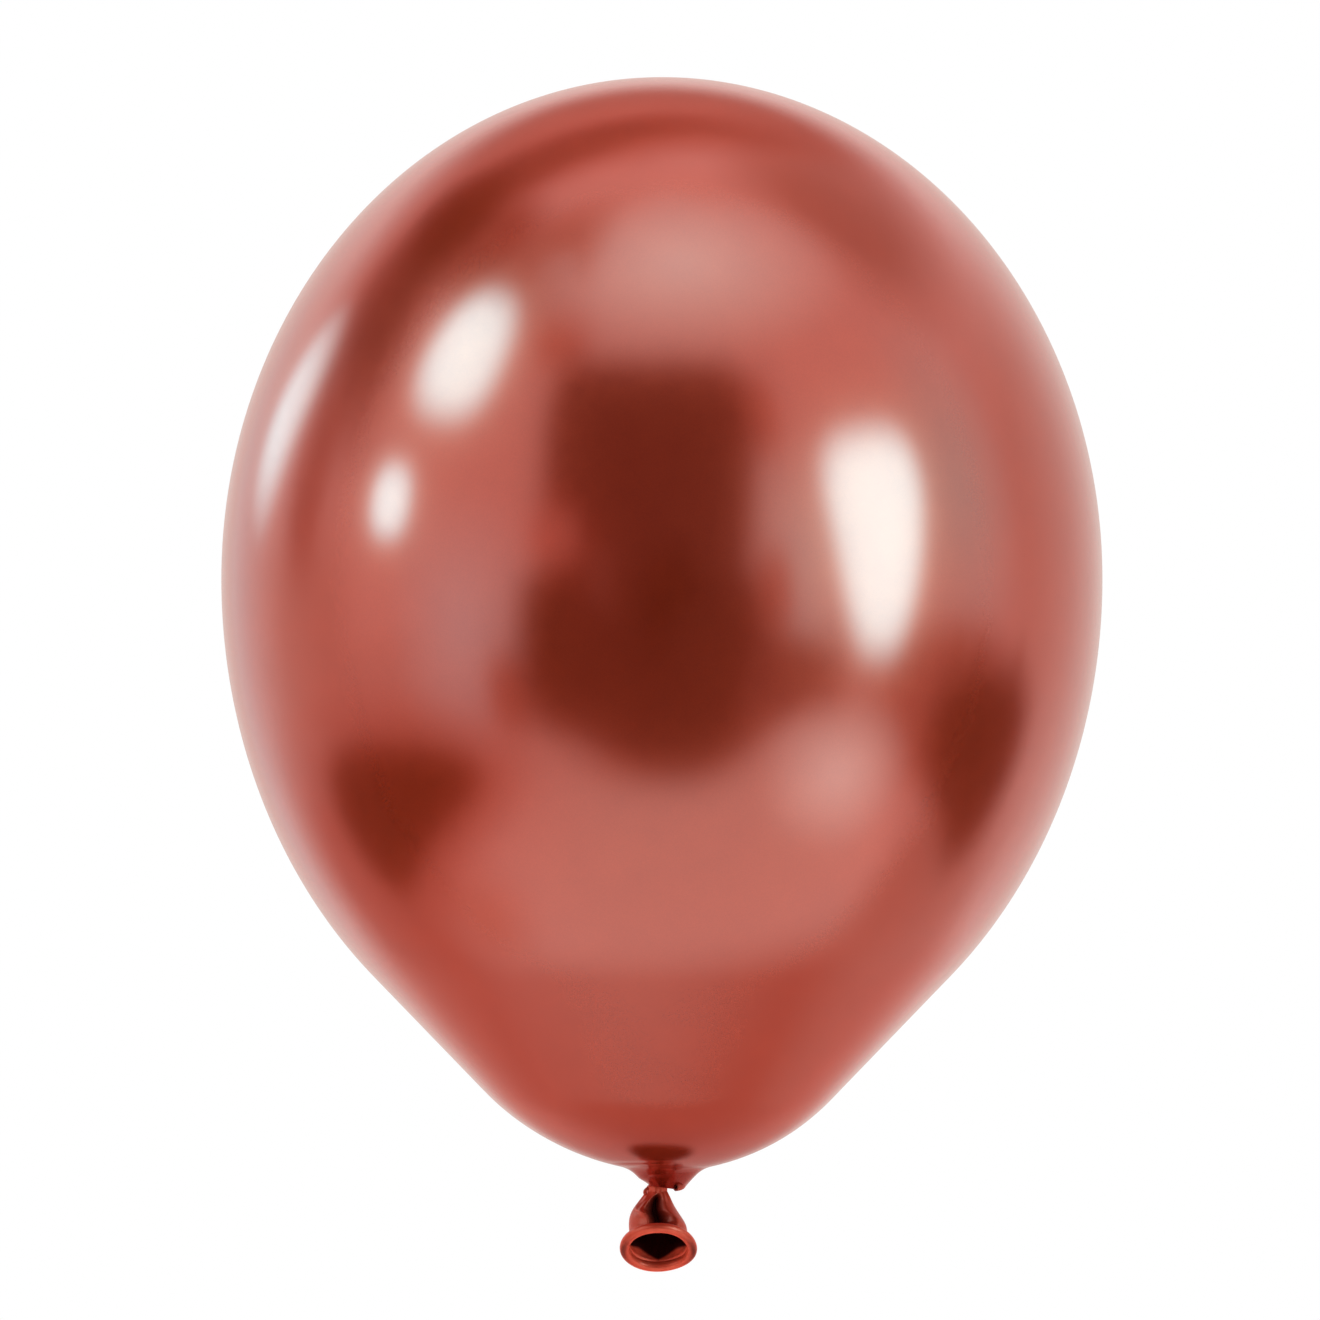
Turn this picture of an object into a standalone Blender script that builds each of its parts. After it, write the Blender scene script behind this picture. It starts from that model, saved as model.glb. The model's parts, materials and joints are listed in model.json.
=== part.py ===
"""A tied latex party balloon: envelope, gathered neck, overhand knot, waist, folded tail and rolled mouth.

Metres, +Z up. The origin is on the balloon's axis at the waist under the knot, where a ribbon is tied.
The tail hangs below it and opens towards -Y.
"""

import math

import bmesh
import bpy
from mathutils import Matrix, Vector, geometry

# Envelope: the inflated body and the neck cone, as a turned outline
BODY_DIAMETER = 0.280           # at the widest part
CROWN_RISE = 0.1595             # from the widest part up to the crown
LOWER_SEMI_AXIS = 0.167         # of the ellipse below the widest part
FLANK_ANGLE = 46.0              # degrees from the horizontal, of the straight flank
BOTTOM_RADIUS = 0.081           # round of the underside
SHOULDER_ANGLE = 12.5           # degrees, where the underside turns into the neck
NECK_FILLET_RADIUS = 0.010
NECK_ANGLE = 45.0               # degrees from the horizontal, of the neck cone
NECK_LENGTH = 0.0045            # of the straight neck cone, along its slope
LIP_ANGLE = 24.4                # degrees below the lean pivot, of the neck's lip
FILM_WALL = 0.00025

# Knot: an overhand knot in the drawn-out neck
ROPE_DIAMETER = 0.0020
ROPE_GAP = 0.0005               # between neighbouring strands
KNOT_HEAD = 0.0044              # from the knot's centre up to the rope's end
KNOT_TAIL = 0.0038              # from the knot's centre down to the rope's end
KNOT_CUT = 36.0                 # degrees of the winding that each end of the rope leaves out

# Collar: the gathered lip that is drawn round the knot
COLLAR_WALL = 0.0010
COLLAR_TOP_ANGLE = 8.0          # degrees above the lean pivot
COLLAR_BOTTOM_ANGLE = 32.0      # degrees below the lean pivot

# Tail: the pinched waist, the folded skirt and the rolled mouth
TAIL_PIVOT_DEPTH = 0.0024       # of the waist's centre, below the origin
TAIL_OFFSET = -0.0015           # of the waist's centre along X, off the balloon's axis
WAIST_DIAMETER = 0.0074
TAIL_LENGTH = 0.016             # along the tail's curve, from the waist's centre to the mouth
TAIL_BEND = 35.0                # degrees that the mouth turns towards the front
SKIRT_WALL = 0.0004
SKIRT_TOP_ANGLE = 10.0          # degrees below the waist's centre, of the skirt's upper edge
SKIRT_FLARE = 0.0035            # length over which the skirt opens out
MOUTH_DIAMETER = 0.0218         # of the rim's centre line
BEAD_DIAMETER = 0.0026
BEAD_SEAT_ANGLE = 35.0          # degrees inward of the bead's top, where the skirt meets it

# Folds of the skirt: the angle round the tail (90 is the front), the depth as a share of the radius, the sharpness
FRONT_FOLD = (90.0, 0.50, 5.0)
LEFT_FOLD = (205.0, 0.22, 8.0)
RIGHT_FOLD = (330.0, 0.18, 8.0)
FOLD_TWIST = 40.0               # degrees that the folds wind round the tail, from waist to mouth

CLEARANCE = 0.0003              # between neighbouring pieces

# Mesh fineness
TURNED_STEPS = 44
CROWN_STEPS = 12
LOWER_STEPS = 9
ARC_STEPS = 5
KNOT_STEPS = 52
LEAD_STEPS = 9
SKIRT_STEPS = 12
BEAD_SIDES = 10

# Finish: deep red with a metallic pigment
BODY_RED = (0.42, 0.035, 0.026, 1.0)
TAIL_RED = (0.30, 0.018, 0.012, 1.0)
BODY_ROUGHNESS = 0.22
TAIL_ROUGHNESS = 0.34
BODY_METALLIC = 0.9
TAIL_METALLIC = 0.5

# Sizes that follow from those above
ROPE_PITCH = ROPE_DIAMETER + ROPE_GAP
KNOT_MINOR = 0.545 * ROPE_PITCH     # the strands cross at a slant, which takes more than half a pitch
KNOT_MAJOR = 1.165 * ROPE_PITCH     # three strands have room side by side in the knot's eye
KNOT_RADIUS = KNOT_MAJOR + KNOT_MINOR + ROPE_DIAMETER / 2
WAIST_RADIUS = WAIST_DIAMETER / 2
COLLAR_RADIUS = KNOT_RADIUS + CLEARANCE + COLLAR_WALL
LIP_REACH = COLLAR_RADIUS + CLEARANCE + FILM_WALL
BEAD_SEAT = BEAD_DIAMETER / 2 + CLEARANCE
SKIRT_END = TAIL_LENGTH - BEAD_SEAT * math.cos(math.radians(BEAD_SEAT_ANGLE))
SKIRT_END_RADIUS = MOUTH_DIAMETER / 2 - BEAD_SEAT * math.sin(math.radians(BEAD_SEAT_ANGLE))
TAIL_PIVOT = Vector((TAIL_OFFSET, 0, -TAIL_PIVOT_DEPTH))
LEAN_PIVOT = Vector((0, 0, TAIL_PIVOT.z + WAIST_RADIUS + CLEARANCE + KNOT_TAIL))


def finish_material(name, colour, roughness, metallic):
    material = bpy.data.materials.new(name)
    material.use_nodes = True
    shader = material.node_tree.nodes["Principled BSDF"]
    shader.inputs["Base Color"].default_value = colour
    shader.inputs["Roughness"].default_value = roughness
    shader.inputs["Metallic"].default_value = metallic
    return material


def body_material(name):
    return finish_material(name, BODY_RED, BODY_ROUGHNESS, BODY_METALLIC)


def tail_material(name):
    return finish_material(name, TAIL_RED, TAIL_ROUGHNESS, TAIL_METALLIC)


def place(name, data, pivot, material):
    """Add an object with its origin on the pivot that it turns about."""
    piece = bpy.data.objects.new(name, data)
    bpy.context.collection.objects.link(piece)
    piece.location = pivot
    data.materials.append(material)
    return piece


def sphere_point(radius, angle):
    """A point (r, z) on a sphere about the origin, the angle in degrees above the horizontal."""
    turn = math.radians(angle)
    return Vector((radius * math.cos(turn), radius * math.sin(turn)))


def slope_arc(start, radius, from_angle, to_angle):
    """Points (r, z) of an arc that climbs outward from start while its slope goes between two angles."""
    first = math.radians(from_angle)
    last = math.radians(to_angle)
    side = 1 if last > first else -1
    points = []
    for step in range(1, ARC_STEPS + 1):
        slope = first + (last - first) * step / ARC_STEPS
        run = side * radius * (math.sin(slope) - math.sin(first))
        rise = side * radius * (math.cos(first) - math.cos(slope))
        points.append(start + Vector((run, rise)))
    return points


def envelope_outline():
    """The envelope's outer outline (r, z) about the lean pivot, from the lip up to the crown."""
    half_width = BODY_DIAMETER / 2
    slope = math.radians(FLANK_ANGLE)
    points = [sphere_point(LIP_REACH, -LIP_ANGLE)]
    neck = math.radians(NECK_ANGLE)
    points.append(points[-1] + NECK_LENGTH * Vector((math.cos(neck), math.sin(neck))))
    points += slope_arc(points[-1], NECK_FILLET_RADIUS, NECK_ANGLE, SHOULDER_ANGLE)
    points += slope_arc(points[-1], BOTTOM_RADIUS, SHOULDER_ANGLE, FLANK_ANGLE)
    # The flank is the tangent of the lower ellipse at its own slope
    low = math.atan(LOWER_SEMI_AXIS / (half_width * math.tan(slope)))
    flank_run = half_width * math.cos(low) - points[-1].x
    flank_top = points[-1].y + flank_run * math.tan(slope)
    equator = flank_top + LOWER_SEMI_AXIS * math.sin(low)
    for step in range(LOWER_STEPS):
        turn = low * (1 - step / LOWER_STEPS)
        points.append(Vector((half_width * math.cos(turn), equator - LOWER_SEMI_AXIS * math.sin(turn))))
    for step in range(CROWN_STEPS):
        turn = math.pi / 2 * step / CROWN_STEPS
        points.append(Vector((half_width * math.cos(turn), equator + CROWN_RISE * math.sin(turn))))
    points.append(Vector((0, equator + CROWN_RISE)))
    return points


def turned_shell(name, outline, wall, pivot, material):
    """Turn an outline (r, z), given from bottom to top, about Z, and thicken it inward by the wall."""
    mesh = bpy.data.meshes.new(name)
    points = [(point.x, 0, point.y) for point in reversed(outline)]
    mesh.from_pydata(points, [(index, index + 1) for index in range(len(points) - 1)], [])
    piece = place(name, mesh, pivot, material)
    turn = piece.modifiers.new("turn", "SCREW")
    turn.steps = TURNED_STEPS
    turn.render_steps = TURNED_STEPS
    turn.use_merge_vertices = True
    turn.merge_threshold = 1e-6
    turn.use_smooth_shade = True
    skin = piece.modifiers.new("wall", "SOLIDIFY")
    skin.thickness = wall
    skin.offset = -1
    skin.use_even_offset = True
    return piece


def make_envelope():
    turned_shell("envelope", envelope_outline(), FILM_WALL, LEAN_PIVOT, body_material("envelope"))


def make_neck_collar():
    outline = []
    for step in range(ARC_STEPS + 1):
        angle = -COLLAR_BOTTOM_ANGLE + (COLLAR_TOP_ANGLE + COLLAR_BOTTOM_ANGLE) * step / ARC_STEPS
        outline.append(sphere_point(COLLAR_RADIUS, angle))
    turned_shell("neck_collar", outline, COLLAR_WALL, LEAN_PIVOT, body_material("neck_collar"))


def torus_strand(turn):
    """A point of a rope that winds twice round the knot's axis and three times round its ring."""
    reach = KNOT_MAJOR + KNOT_MINOR * math.cos(3 * turn)
    return Vector((reach * math.cos(2 * turn), reach * math.sin(2 * turn), -KNOT_MINOR * math.sin(3 * turn)))


def knot_path(strand_steps, lead_steps):
    """The overhand knot's centre line about the knot's centre, from its upper end to its lower end."""
    last = math.radians(KNOT_CUT)
    first = 2 * math.pi - last
    strand = [torus_strand(first + (last - first) * step / strand_steps) for step in range(strand_steps + 1)]
    head = Vector((0, 0, KNOT_HEAD))
    tail = Vector((0, 0, -KNOT_TAIL))
    enter = (strand[0] - strand[1]).normalized() * ROPE_PITCH
    leave = (strand[-1] - strand[-2]).normalized() * ROPE_PITCH
    drop = Vector((0, 0, ROPE_DIAMETER / 2))
    lead_in = geometry.interpolate_bezier(head, head - drop, strand[0] + enter, strand[0], lead_steps)
    lead_out = geometry.interpolate_bezier(strand[-1], strand[-1] + leave, tail + drop, tail, lead_steps)
    return lead_in[:-1] + strand + lead_out[1:]


def least_rope_gap(path):
    """The least clear distance between stretches of the rope that aren't next to each other."""
    along = [0.0]
    for before, after in zip(path, path[1:]):
        along.append(along[-1] + (after - before).length)
    apart = math.pi * ROPE_DIAMETER
    nearest = min((path[i] - path[j]).length for i in range(len(path)) for j in range(i)
                  if along[i] - along[j] > apart)
    return nearest - ROPE_DIAMETER


def make_knot():
    curve = bpy.data.curves.new("knot", "CURVE")
    curve.dimensions = "3D"
    curve.bevel_depth = ROPE_DIAMETER / 2
    curve.bevel_resolution = 2
    curve.use_fill_caps = True
    path = knot_path(KNOT_STEPS, LEAD_STEPS)
    spline = curve.splines.new("POLY")
    spline.points.add(len(path) - 1)
    for point, place_at in zip(spline.points, path):
        point.co = (*place_at, 1)
    place("knot", curve, LEAN_PIVOT, body_material("knot"))
    fine = 6
    print("knot: least gap of the rope to itself, mm:",
          round(1000 * least_rope_gap(knot_path(fine * KNOT_STEPS, fine * LEAD_STEPS)), 3))


def make_throat():
    form = bmesh.new()
    bmesh.ops.create_uvsphere(form, u_segments=TURNED_STEPS // 2, v_segments=TURNED_STEPS // 4, radius=WAIST_RADIUS)
    mesh = bpy.data.meshes.new("throat")
    form.to_mesh(mesh)
    form.free()
    mesh.shade_smooth()
    place("throat", mesh, TAIL_PIVOT, tail_material("throat"))


def tail_frame(distance):
    """The frame of the tail's curve at a distance from the waist's centre: an arc, straight past the skirt."""
    curved = min(distance, SKIRT_END)
    turn = math.radians(TAIL_BEND) * curved / SKIRT_END
    bend_radius = SKIRT_END / math.radians(TAIL_BEND)
    arc_end = bend_radius * Vector((0, math.cos(turn) - 1, -math.sin(turn)))
    straight = Vector((0, 0, curved - distance))
    return Matrix.Translation(arc_end) @ Matrix.Rotation(-turn, 4, "X") @ Matrix.Translation(straight)


def fold_depth(angle, share):
    """How far the folds draw the skirt in, as a share of its radius, at an angle and a share of its length."""
    fullness = 27 / 4 * share ** 2 * (1 - share)
    twist = math.radians(FOLD_TWIST) * (share - 1)
    depth = 0
    for centre, deepest, sharpness in (FRONT_FOLD, LEFT_FOLD, RIGHT_FOLD):
        away = angle - math.radians(centre) - twist
        depth += deepest * math.exp(sharpness * (math.cos(away) - 1))
    return fullness * depth


def make_tail_skirt():
    top = sphere_point(WAIST_RADIUS + CLEARANCE + SKIRT_WALL / 2, -SKIRT_TOP_ANGLE)
    first = -top.y
    opened = 1 - math.exp((first - SKIRT_END) / SKIRT_FLARE)
    form = bmesh.new()
    rings = []
    for step in range(SKIRT_STEPS + 1):
        share = step / SKIRT_STEPS
        distance = first + (SKIRT_END - first) * share
        flare = (1 - math.exp((first - distance) / SKIRT_FLARE)) / opened
        radius = top.x + (SKIRT_END_RADIUS - top.x) * flare
        frame = tail_frame(distance)
        ring = []
        for side in range(TURNED_STEPS):
            angle = 2 * math.pi * side / TURNED_STEPS
            reach = radius * (1 - fold_depth(angle, share))
            ring.append(form.verts.new(frame @ Vector((reach * math.cos(angle), -reach * math.sin(angle), 0))))
        rings.append(ring)
    for upper, lower in zip(rings, rings[1:]):
        for side in range(TURNED_STEPS):
            after = (side + 1) % TURNED_STEPS
            form.faces.new((upper[side], upper[after], lower[after], lower[side]))
    mesh = bpy.data.meshes.new("tail_skirt")
    form.to_mesh(mesh)
    form.free()
    mesh.shade_smooth()
    skirt = place("tail_skirt", mesh, TAIL_PIVOT, tail_material("tail_skirt"))
    skin = skirt.modifiers.new("wall", "SOLIDIFY")
    skin.thickness = SKIRT_WALL
    skin.offset = -1
    return skirt


def make_mouth_bead():
    mesh = bpy.data.meshes.new("mouth_bead")
    points = []
    for side in range(BEAD_SIDES):
        angle = -2 * math.pi * side / BEAD_SIDES
        points.append((MOUTH_DIAMETER / 2 + BEAD_DIAMETER / 2 * math.cos(angle), 0,
                       BEAD_DIAMETER / 2 * math.sin(angle)))
    mesh.from_pydata(points, [(side, (side + 1) % BEAD_SIDES) for side in range(BEAD_SIDES)], [])
    bead = place("mouth_bead", mesh, TAIL_PIVOT, tail_material("mouth_bead"))
    bead.matrix_world = Matrix.Translation(TAIL_PIVOT) @ tail_frame(TAIL_LENGTH)
    turn = bead.modifiers.new("turn", "SCREW")
    turn.steps = TURNED_STEPS
    turn.render_steps = TURNED_STEPS
    turn.use_merge_vertices = True
    turn.merge_threshold = 1e-6
    turn.use_smooth_shade = True
    return bead


def main():
    for leftover in list(bpy.data.objects):
        bpy.data.objects.remove(leftover, do_unlink=True)
    make_envelope()
    make_neck_collar()
    make_knot()
    make_throat()
    make_tail_skirt()
    make_mouth_bead()


main()
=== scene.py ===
"""The looks of a tied latex balloon: mirror-bright film, gathered neck, knot, folded tail and rolled mouth.

Metres, +Z up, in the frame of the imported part. The camera looks along +Y, so -Y is the front.
Round the balloon or its tail, an angle of 0 is the front and +90 degrees is +X, the camera's right.
"""

import json
import math

import bmesh
import bpy
from mathutils import Matrix, Vector, geometry


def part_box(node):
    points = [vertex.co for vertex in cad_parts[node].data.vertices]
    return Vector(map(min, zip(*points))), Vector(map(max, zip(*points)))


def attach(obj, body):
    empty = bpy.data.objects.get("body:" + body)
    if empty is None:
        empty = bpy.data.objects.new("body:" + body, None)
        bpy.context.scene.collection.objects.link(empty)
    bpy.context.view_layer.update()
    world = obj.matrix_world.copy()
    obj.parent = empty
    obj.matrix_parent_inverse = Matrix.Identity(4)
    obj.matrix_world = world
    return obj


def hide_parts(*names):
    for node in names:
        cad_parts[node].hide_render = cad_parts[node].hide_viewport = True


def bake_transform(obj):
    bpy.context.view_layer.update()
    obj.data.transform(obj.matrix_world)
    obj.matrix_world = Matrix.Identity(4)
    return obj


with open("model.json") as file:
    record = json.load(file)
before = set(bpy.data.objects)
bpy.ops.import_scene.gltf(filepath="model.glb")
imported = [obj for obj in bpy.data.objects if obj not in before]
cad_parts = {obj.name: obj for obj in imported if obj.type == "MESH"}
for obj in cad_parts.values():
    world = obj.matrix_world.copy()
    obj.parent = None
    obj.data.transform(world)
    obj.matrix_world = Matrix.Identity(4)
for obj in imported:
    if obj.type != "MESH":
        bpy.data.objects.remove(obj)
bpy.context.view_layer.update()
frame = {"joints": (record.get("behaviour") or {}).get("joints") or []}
JOINTS = {joint["name"]: joint for joint in frame["joints"]}
MM = 0.001

# Places that come from the frame
LEAN_PIVOT = Vector(JOINTS["body_lean_x"]["pos_m"])
TAIL_PIVOT = Vector(JOINTS["tail_nod"]["pos_m"])
ENVELOPE_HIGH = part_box("envelope")[1]

# Envelope: the same turned outline as the part's
HALF_WIDTH = ENVELOPE_HIGH.x
CROWN_RISE = 0.1595
LOWER_SEMI_AXIS = 0.167
FLANK_ANGLE = 46.0              # degrees from the horizontal
BOTTOM_RADIUS = 0.081
SHOULDER_ANGLE = 12.5
CREASED_ANGLE = 23.0            # up to here the shoulder has close rows, for its creases
NECK_FILLET_RADIUS = 0.010
NECK_ANGLE = 45.0
FILM_WALL = 0.25 * MM
AROUND = 256                    # faces round the envelope and the neck
NECK_SHIFT = 1.3 * MM           # of the neck towards +X, off the body's axis
NECK_SHIFT_TOP = 0.034          # height at which the body is back on its axis
NECK_TONE = (6.0 * MM, 27.0 * MM)   # heights between which the neck's red gives way to the body's
SEAM_HEIGHT = 5.0 * MM          # on the neck cone, where the envelope ends and the gathered neck starts
NECK_CONE_TOP = Vector((9.67 * MM, 5.64 * MM))      # (r, z) where the neck's fillet starts

# Rows of faces on each stretch of the envelope's outline, from the neck up
CONE_ROWS = 4
FILLET_ROWS = 36
CREASED_ROWS = 40
BOTTOM_ROWS = 32
FLANK_ROWS = 24
LOWER_ROWS = 48
CROWN_ROWS = 72

# Creases of the shoulder and the neck: height, middle angle, half spread in degrees, depth, half height
CREASES = (
    (10.0 * MM, -34, 30, 0.70 * MM, 0.42 * MM),
    (8.7 * MM, -20, 24, 0.45 * MM, 0.34 * MM),
    (6.3 * MM, 4, 56, 0.12 * MM, 0.40 * MM),
)
CREASE_RISE = 0.012 * MM        # of every crease, for each degree to the right of its middle

# Gathered neck: the lip that is drawn in round the knot and rolls under
LIP_RADIUS = 5.3 * MM
LIP_HEIGHT = 1.75 * MM
LIP_SLANT = 0.65 * MM           # how much lower the lip is at the right than at its middle
LIP_ROLL = 0.62 * MM            # radius of the turned-under edge
LIP_ROLL_SWING = 0.22 * MM      # the roll is this much thicker at the right
LIP_TURN = 150.0                # degrees that the edge turns under
LIP_RETURN = 1.6 * MM           # of the film going back up inside
LIP_CONE_ROWS = 22
LIP_ROLL_ROWS = 18
LIP_RETURN_ROWS = 6
NECK_PLEATS = 13
NECK_PLEAT_TOP = SEAM_HEIGHT - 0.4 * MM
NECK_PLEAT_DEPTH = 0.10 * MM
NECK_PLEAT_WAVER = 1.3          # radians by which the pleats stray from even steps
NECK_WAVERS = 3                 # times round the neck

# Curl: the rolled corner of the lip at the front right, hollow at its end, with its bends in millimetres
CURL_BENDS = ((7.0, 1.5, 2.9), (7.0, -1.5, 2.2), (6.4, -4.0, 1.9), (4.4, -5.6, 2.0))
CURL_STEPS = 28
CURL_THIN = 0.5 * MM
CURL_THICK = 1.35 * MM
CURL_GROWTH = 0.8               # the power by which it thickens towards its hollow end
CURL_HOLE = 0.55 * MM
CURL_DEPTH = 0.3                # of the hole, as a share of the curl's length

# Ear: the small fold that stands out at the left of the waist, with its bends in millimetres
EAR_BENDS = ((-4.0, -1.4, 1.7), (-6.0, -1.9, 0.9), (-5.8, -1.6, -0.8), (-4.0, -1.0, -1.2))
EAR_POINTS = 20
EAR_RADIUS = 0.55 * MM
EAR_END_SHARE = 0.75            # of that radius, at both ends

# Knot: the overhand knot of the part, with a softly wrinkled rope
ROPE_DIAMETER = 2.0 * MM
KNOT_MINOR = 1.3625 * MM
KNOT_MAJOR = 2.9125 * MM
KNOT_HEAD = 4.4 * MM
KNOT_TAIL = 3.8 * MM
KNOT_CUT = 36.0                 # degrees left off both ends of the winding
ROPE_PITCH = 2.5 * MM
ROPE_SIDES = 18
ROPE_END = 0.012                # share of the rope's length over which each end rounds off
ROPE_TIP = 0.02                 # share of the rope's section that is left at its tips
STRAND_STEPS = 168
LEAD_STEPS = 24
WRINKLES = 5                    # round the rope
WRINKLE_TWIST = 40              # radians that they wind along it
WRINKLE_DEPTH = 0.07            # as a share of the rope's radius

# Tail: distances run along its curve from the waist's centre
TAIL_LENGTH = 16.0 * MM
SKIRT_END = 14.689 * MM
TAIL_BEND = 35.0                # degrees to the front
TAIL_TOP = -5.4 * MM
TOP_PINHOLE = 0.0004            # share of the waist's section that stays open there
TAIL_SHOULDER = -4.1 * MM       # below its closed top, which reaches up into the neck
TAIL_GATHER = -2.9 * MM         # where the film starts to widen
TAIL_BOTTOM = 16.1 * MM         # inside the rolled rim
WAIST_RADIUS = 3.3 * MM
MOUTH_FILM_RADIUS = 9.3 * MM
WIDENING_LENGTH = 13.0 * MM     # from the one radius to the other
WIDENING_POWER = 1.15
MOUTH_FLARE = 0.7 * MM          # by which the film's end widens, so that no slit is left along the rim
TAIL_DRIFT = -0.8 * MM          # the tail's upper half swings this far to -X
TAIL_DRIFT_MIDDLE = 3.0 * MM
TAIL_DRIFT_SPREAD = 4.0 * MM
MOUTH_DRIFT = 0.35 * MM         # and its mouth this far to +X
MOUTH_DRIFT_SPAN = (5.0 * MM, 11.0 * MM)
TAIL_WALL = 0.32 * MM
TAIL_AROUND = 320
TAIL_ROWS = 170
WAIST_SEAM = 0.6 * MM           # between the waist and the upper skirt
SKIRT_SEAM = 7.0 * MM           # between the upper and the lower skirt
WAIST_MARGIN = 0.6 * MM         # listed for a bend's span to keep this far from the seam; nothing here sets up the bends
SKIRT_MARGIN = 1.7 * MM

# Listed for bends of the tail's film, which this script doesn't set up: the upper body, the lower body and
# where the bend starts and ends
WAIST_BLEND = ("knot", "throat", TAIL_GATHER, WAIST_SEAM - WAIST_MARGIN)
UPPER_BLEND = ("throat", "tail", WAIST_SEAM + WAIST_MARGIN, SKIRT_SEAM - SKIRT_MARGIN)
LOWER_BLEND = ("tail", "mouth", SKIRT_SEAM + SKIRT_MARGIN, SKIRT_END)

# Folds of the tail: falls are millimetres along its curve below the waist's centre, angles are degrees,
# and depths and heights are shares of the film's radius. A reversed pair fades out instead of in.
FLARE_FALLS = (14.8, 15.8)
WAIST_PLEATS = 9
WAIST_PLEAT_DEPTH = 0.05
WAIST_PLEAT_FALL = -1.6
WAIST_PLEAT_SPREAD = 2.2
WAIST_PLEAT_PHASE = 1.1         # radians
POCKET_DEPTH = 0.80             # of the deep front pleat
POCKET_TOP_FALLS = (-3.1, 0.0)
POCKET_END_FALLS = (13.2, 8.0)
POCKET_LEFT = -24               # angle of its sharp left edge
POCKET_LEFT_LEAD = 53           # by which that edge starts further right
POCKET_LEFT_START = -2.8        # fall at which it starts
POCKET_LEFT_EASE = 0.95         # fall over which it nears its angle
POCKET_LEFT_FOOT = 7            # by which it ends further right
POCKET_LEFT_FOOT_FALLS = (3, 7)
POCKET_LEFT_SOFT = 4            # half the angle over which it tucks in
POCKET_RIGHT = 20               # angle of its soft right side
POCKET_RIGHT_FOOT = 8
POCKET_RIGHT_FOOT_FALLS = (3.5, 7)
POCKET_RIGHT_SOFT = (18, -14)
RIDGE_HEIGHT = 0.11             # of the ridge along the left edge
RIDGE_OFFSET = 9
RIDGE_SPREAD = 8
RIDGE_TOP_FALLS = (-2.5, 0.5)
RIDGE_END_FALLS = (9, 5)
FLAP_RISE = 0.4 * MM            # of the upper left film over the lower left panel
FLAP_LEFT = -62                 # angle and fall of the left end of the flap's line
FLAP_FALL = 2.4
FLAP_DROP = 3.7                 # of that line over its width
FLAP_WIDTH = 44
FLAP_SOFT_ABOVE = 1.5
FLAP_SOFT_BELOW = 0.55
FLAP_LEFT_ANGLES = (-88, -66)
FLAP_RIGHT_ANGLES = (-12, -26)
REAR_DEPTH = 0.14               # of the two folds at the rear
REAR_ANGLES = (131, -128)
REAR_WIDTH = 25
REAR_FALL = 11.6
REAR_SPREAD = 2.6
REAR_UPPER_SHARE = 0.45         # how full the folds still are higher up
REAR_UPPER_FALL = 5.0
REAR_UPPER_SPREAD = 5.0

# Rolled mouth
MOUTH_RADIUS = 10.7 * MM
BEAD_RADIUS = 1.6 * MM
MOUTH_TILT = 2.5                # degrees that the rim turns further up than the part's
BEAD_SIDES = 48
RIM_WAVE = 0.04                 # of the roll's thickness, as a share of it
RIM_WAVES = 4
RIM_SWAY = 0.012                # of the ring, as a share of its radius
RIM_SWAYS = 3
RIM_SWAY_PHASE = 20             # degrees

# Lines along the rim's roll: height as a share of its radius, place round it and half width in degrees
RIM_LINES = (
    (0.10, 212, 20),
    (-0.12, 246, 11),
    (-0.05, 60, 12),
)

# Camera: level, and far enough away for the photograph's flat perspective
CAMERA_DISTANCE = 5.0
FRAME_WIDTH = 0.4196            # of the picture, at the balloon
FRAME_CENTRE = Vector((-0.6 * MM, 0, 169.3 * MM))

# Studio: cards on a sphere about the balloon, the white room and the floor
STUDIO_CENTRE = Vector((0, 0, 0.19))
STUDIO_RADIUS = 1.0
LAYER_STEP = 0.02
PANEL_CORNERS = 40
FLAT_SHARES = (0, 0.25, 0.5, 0.75, 1)   # rings of a level card, from its edge to its core
RIBBON_STEPS = 32
RIBBON_SIDES = (1, 0.4, -0.4, -1)       # points across a ribbon, as shares of its half width
RIBBON_FADE = 0.2               # share of a ribbon's length that fades at each end
PLAIN_WHITE = (1, 1, 1, 1)
LAMP_WHITE = (0.24, 0.87, 1.0, 1)
COOL_WHITE = (0.50, 0.87, 1.0, 1)
ICE_WHITE = (0.44, 0.93, 1.0, 1)
PALE_COOL = (0.73, 0.98, 1.0, 1)
WARM_GREY = (1.0, 0.56, 0.50, 1)
PALE_WARM = (1.0, 0.86, 0.80, 1)
SIDE_FILL = 2.6
TOP_FILL = 6.5
ROOM_LIGHT = 0.4                # of the white room on the film, apart from its reflection
FLOOR_HEIGHT = -0.95
FLOOR_SIDE = 16.0
FLOOR_LIFT = 0.4                # added to the floor where it is seen, so that it is as white as the room


def smooth(low, high, value):
    """0 below low, 1 above high, and an even S between them. With low above high it falls instead."""
    share = min(max((value - low) / (high - low), 0.0), 1.0)
    return share * share * (3 - 2 * share)


def bell(offset, width):
    return math.exp(-(offset / width) ** 2)


def wrap(angle):
    """An angle in degrees, brought between -180 and 180."""
    return (angle + 180.0) % 360.0 - 180.0


def front_vector(angle, reach, height=0.0):
    """A point at a reach from the Z axis, the angle in degrees from the front."""
    turn = math.radians(angle)
    return Vector((reach * math.sin(turn), -reach * math.cos(turn), height))


# Meshes

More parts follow.
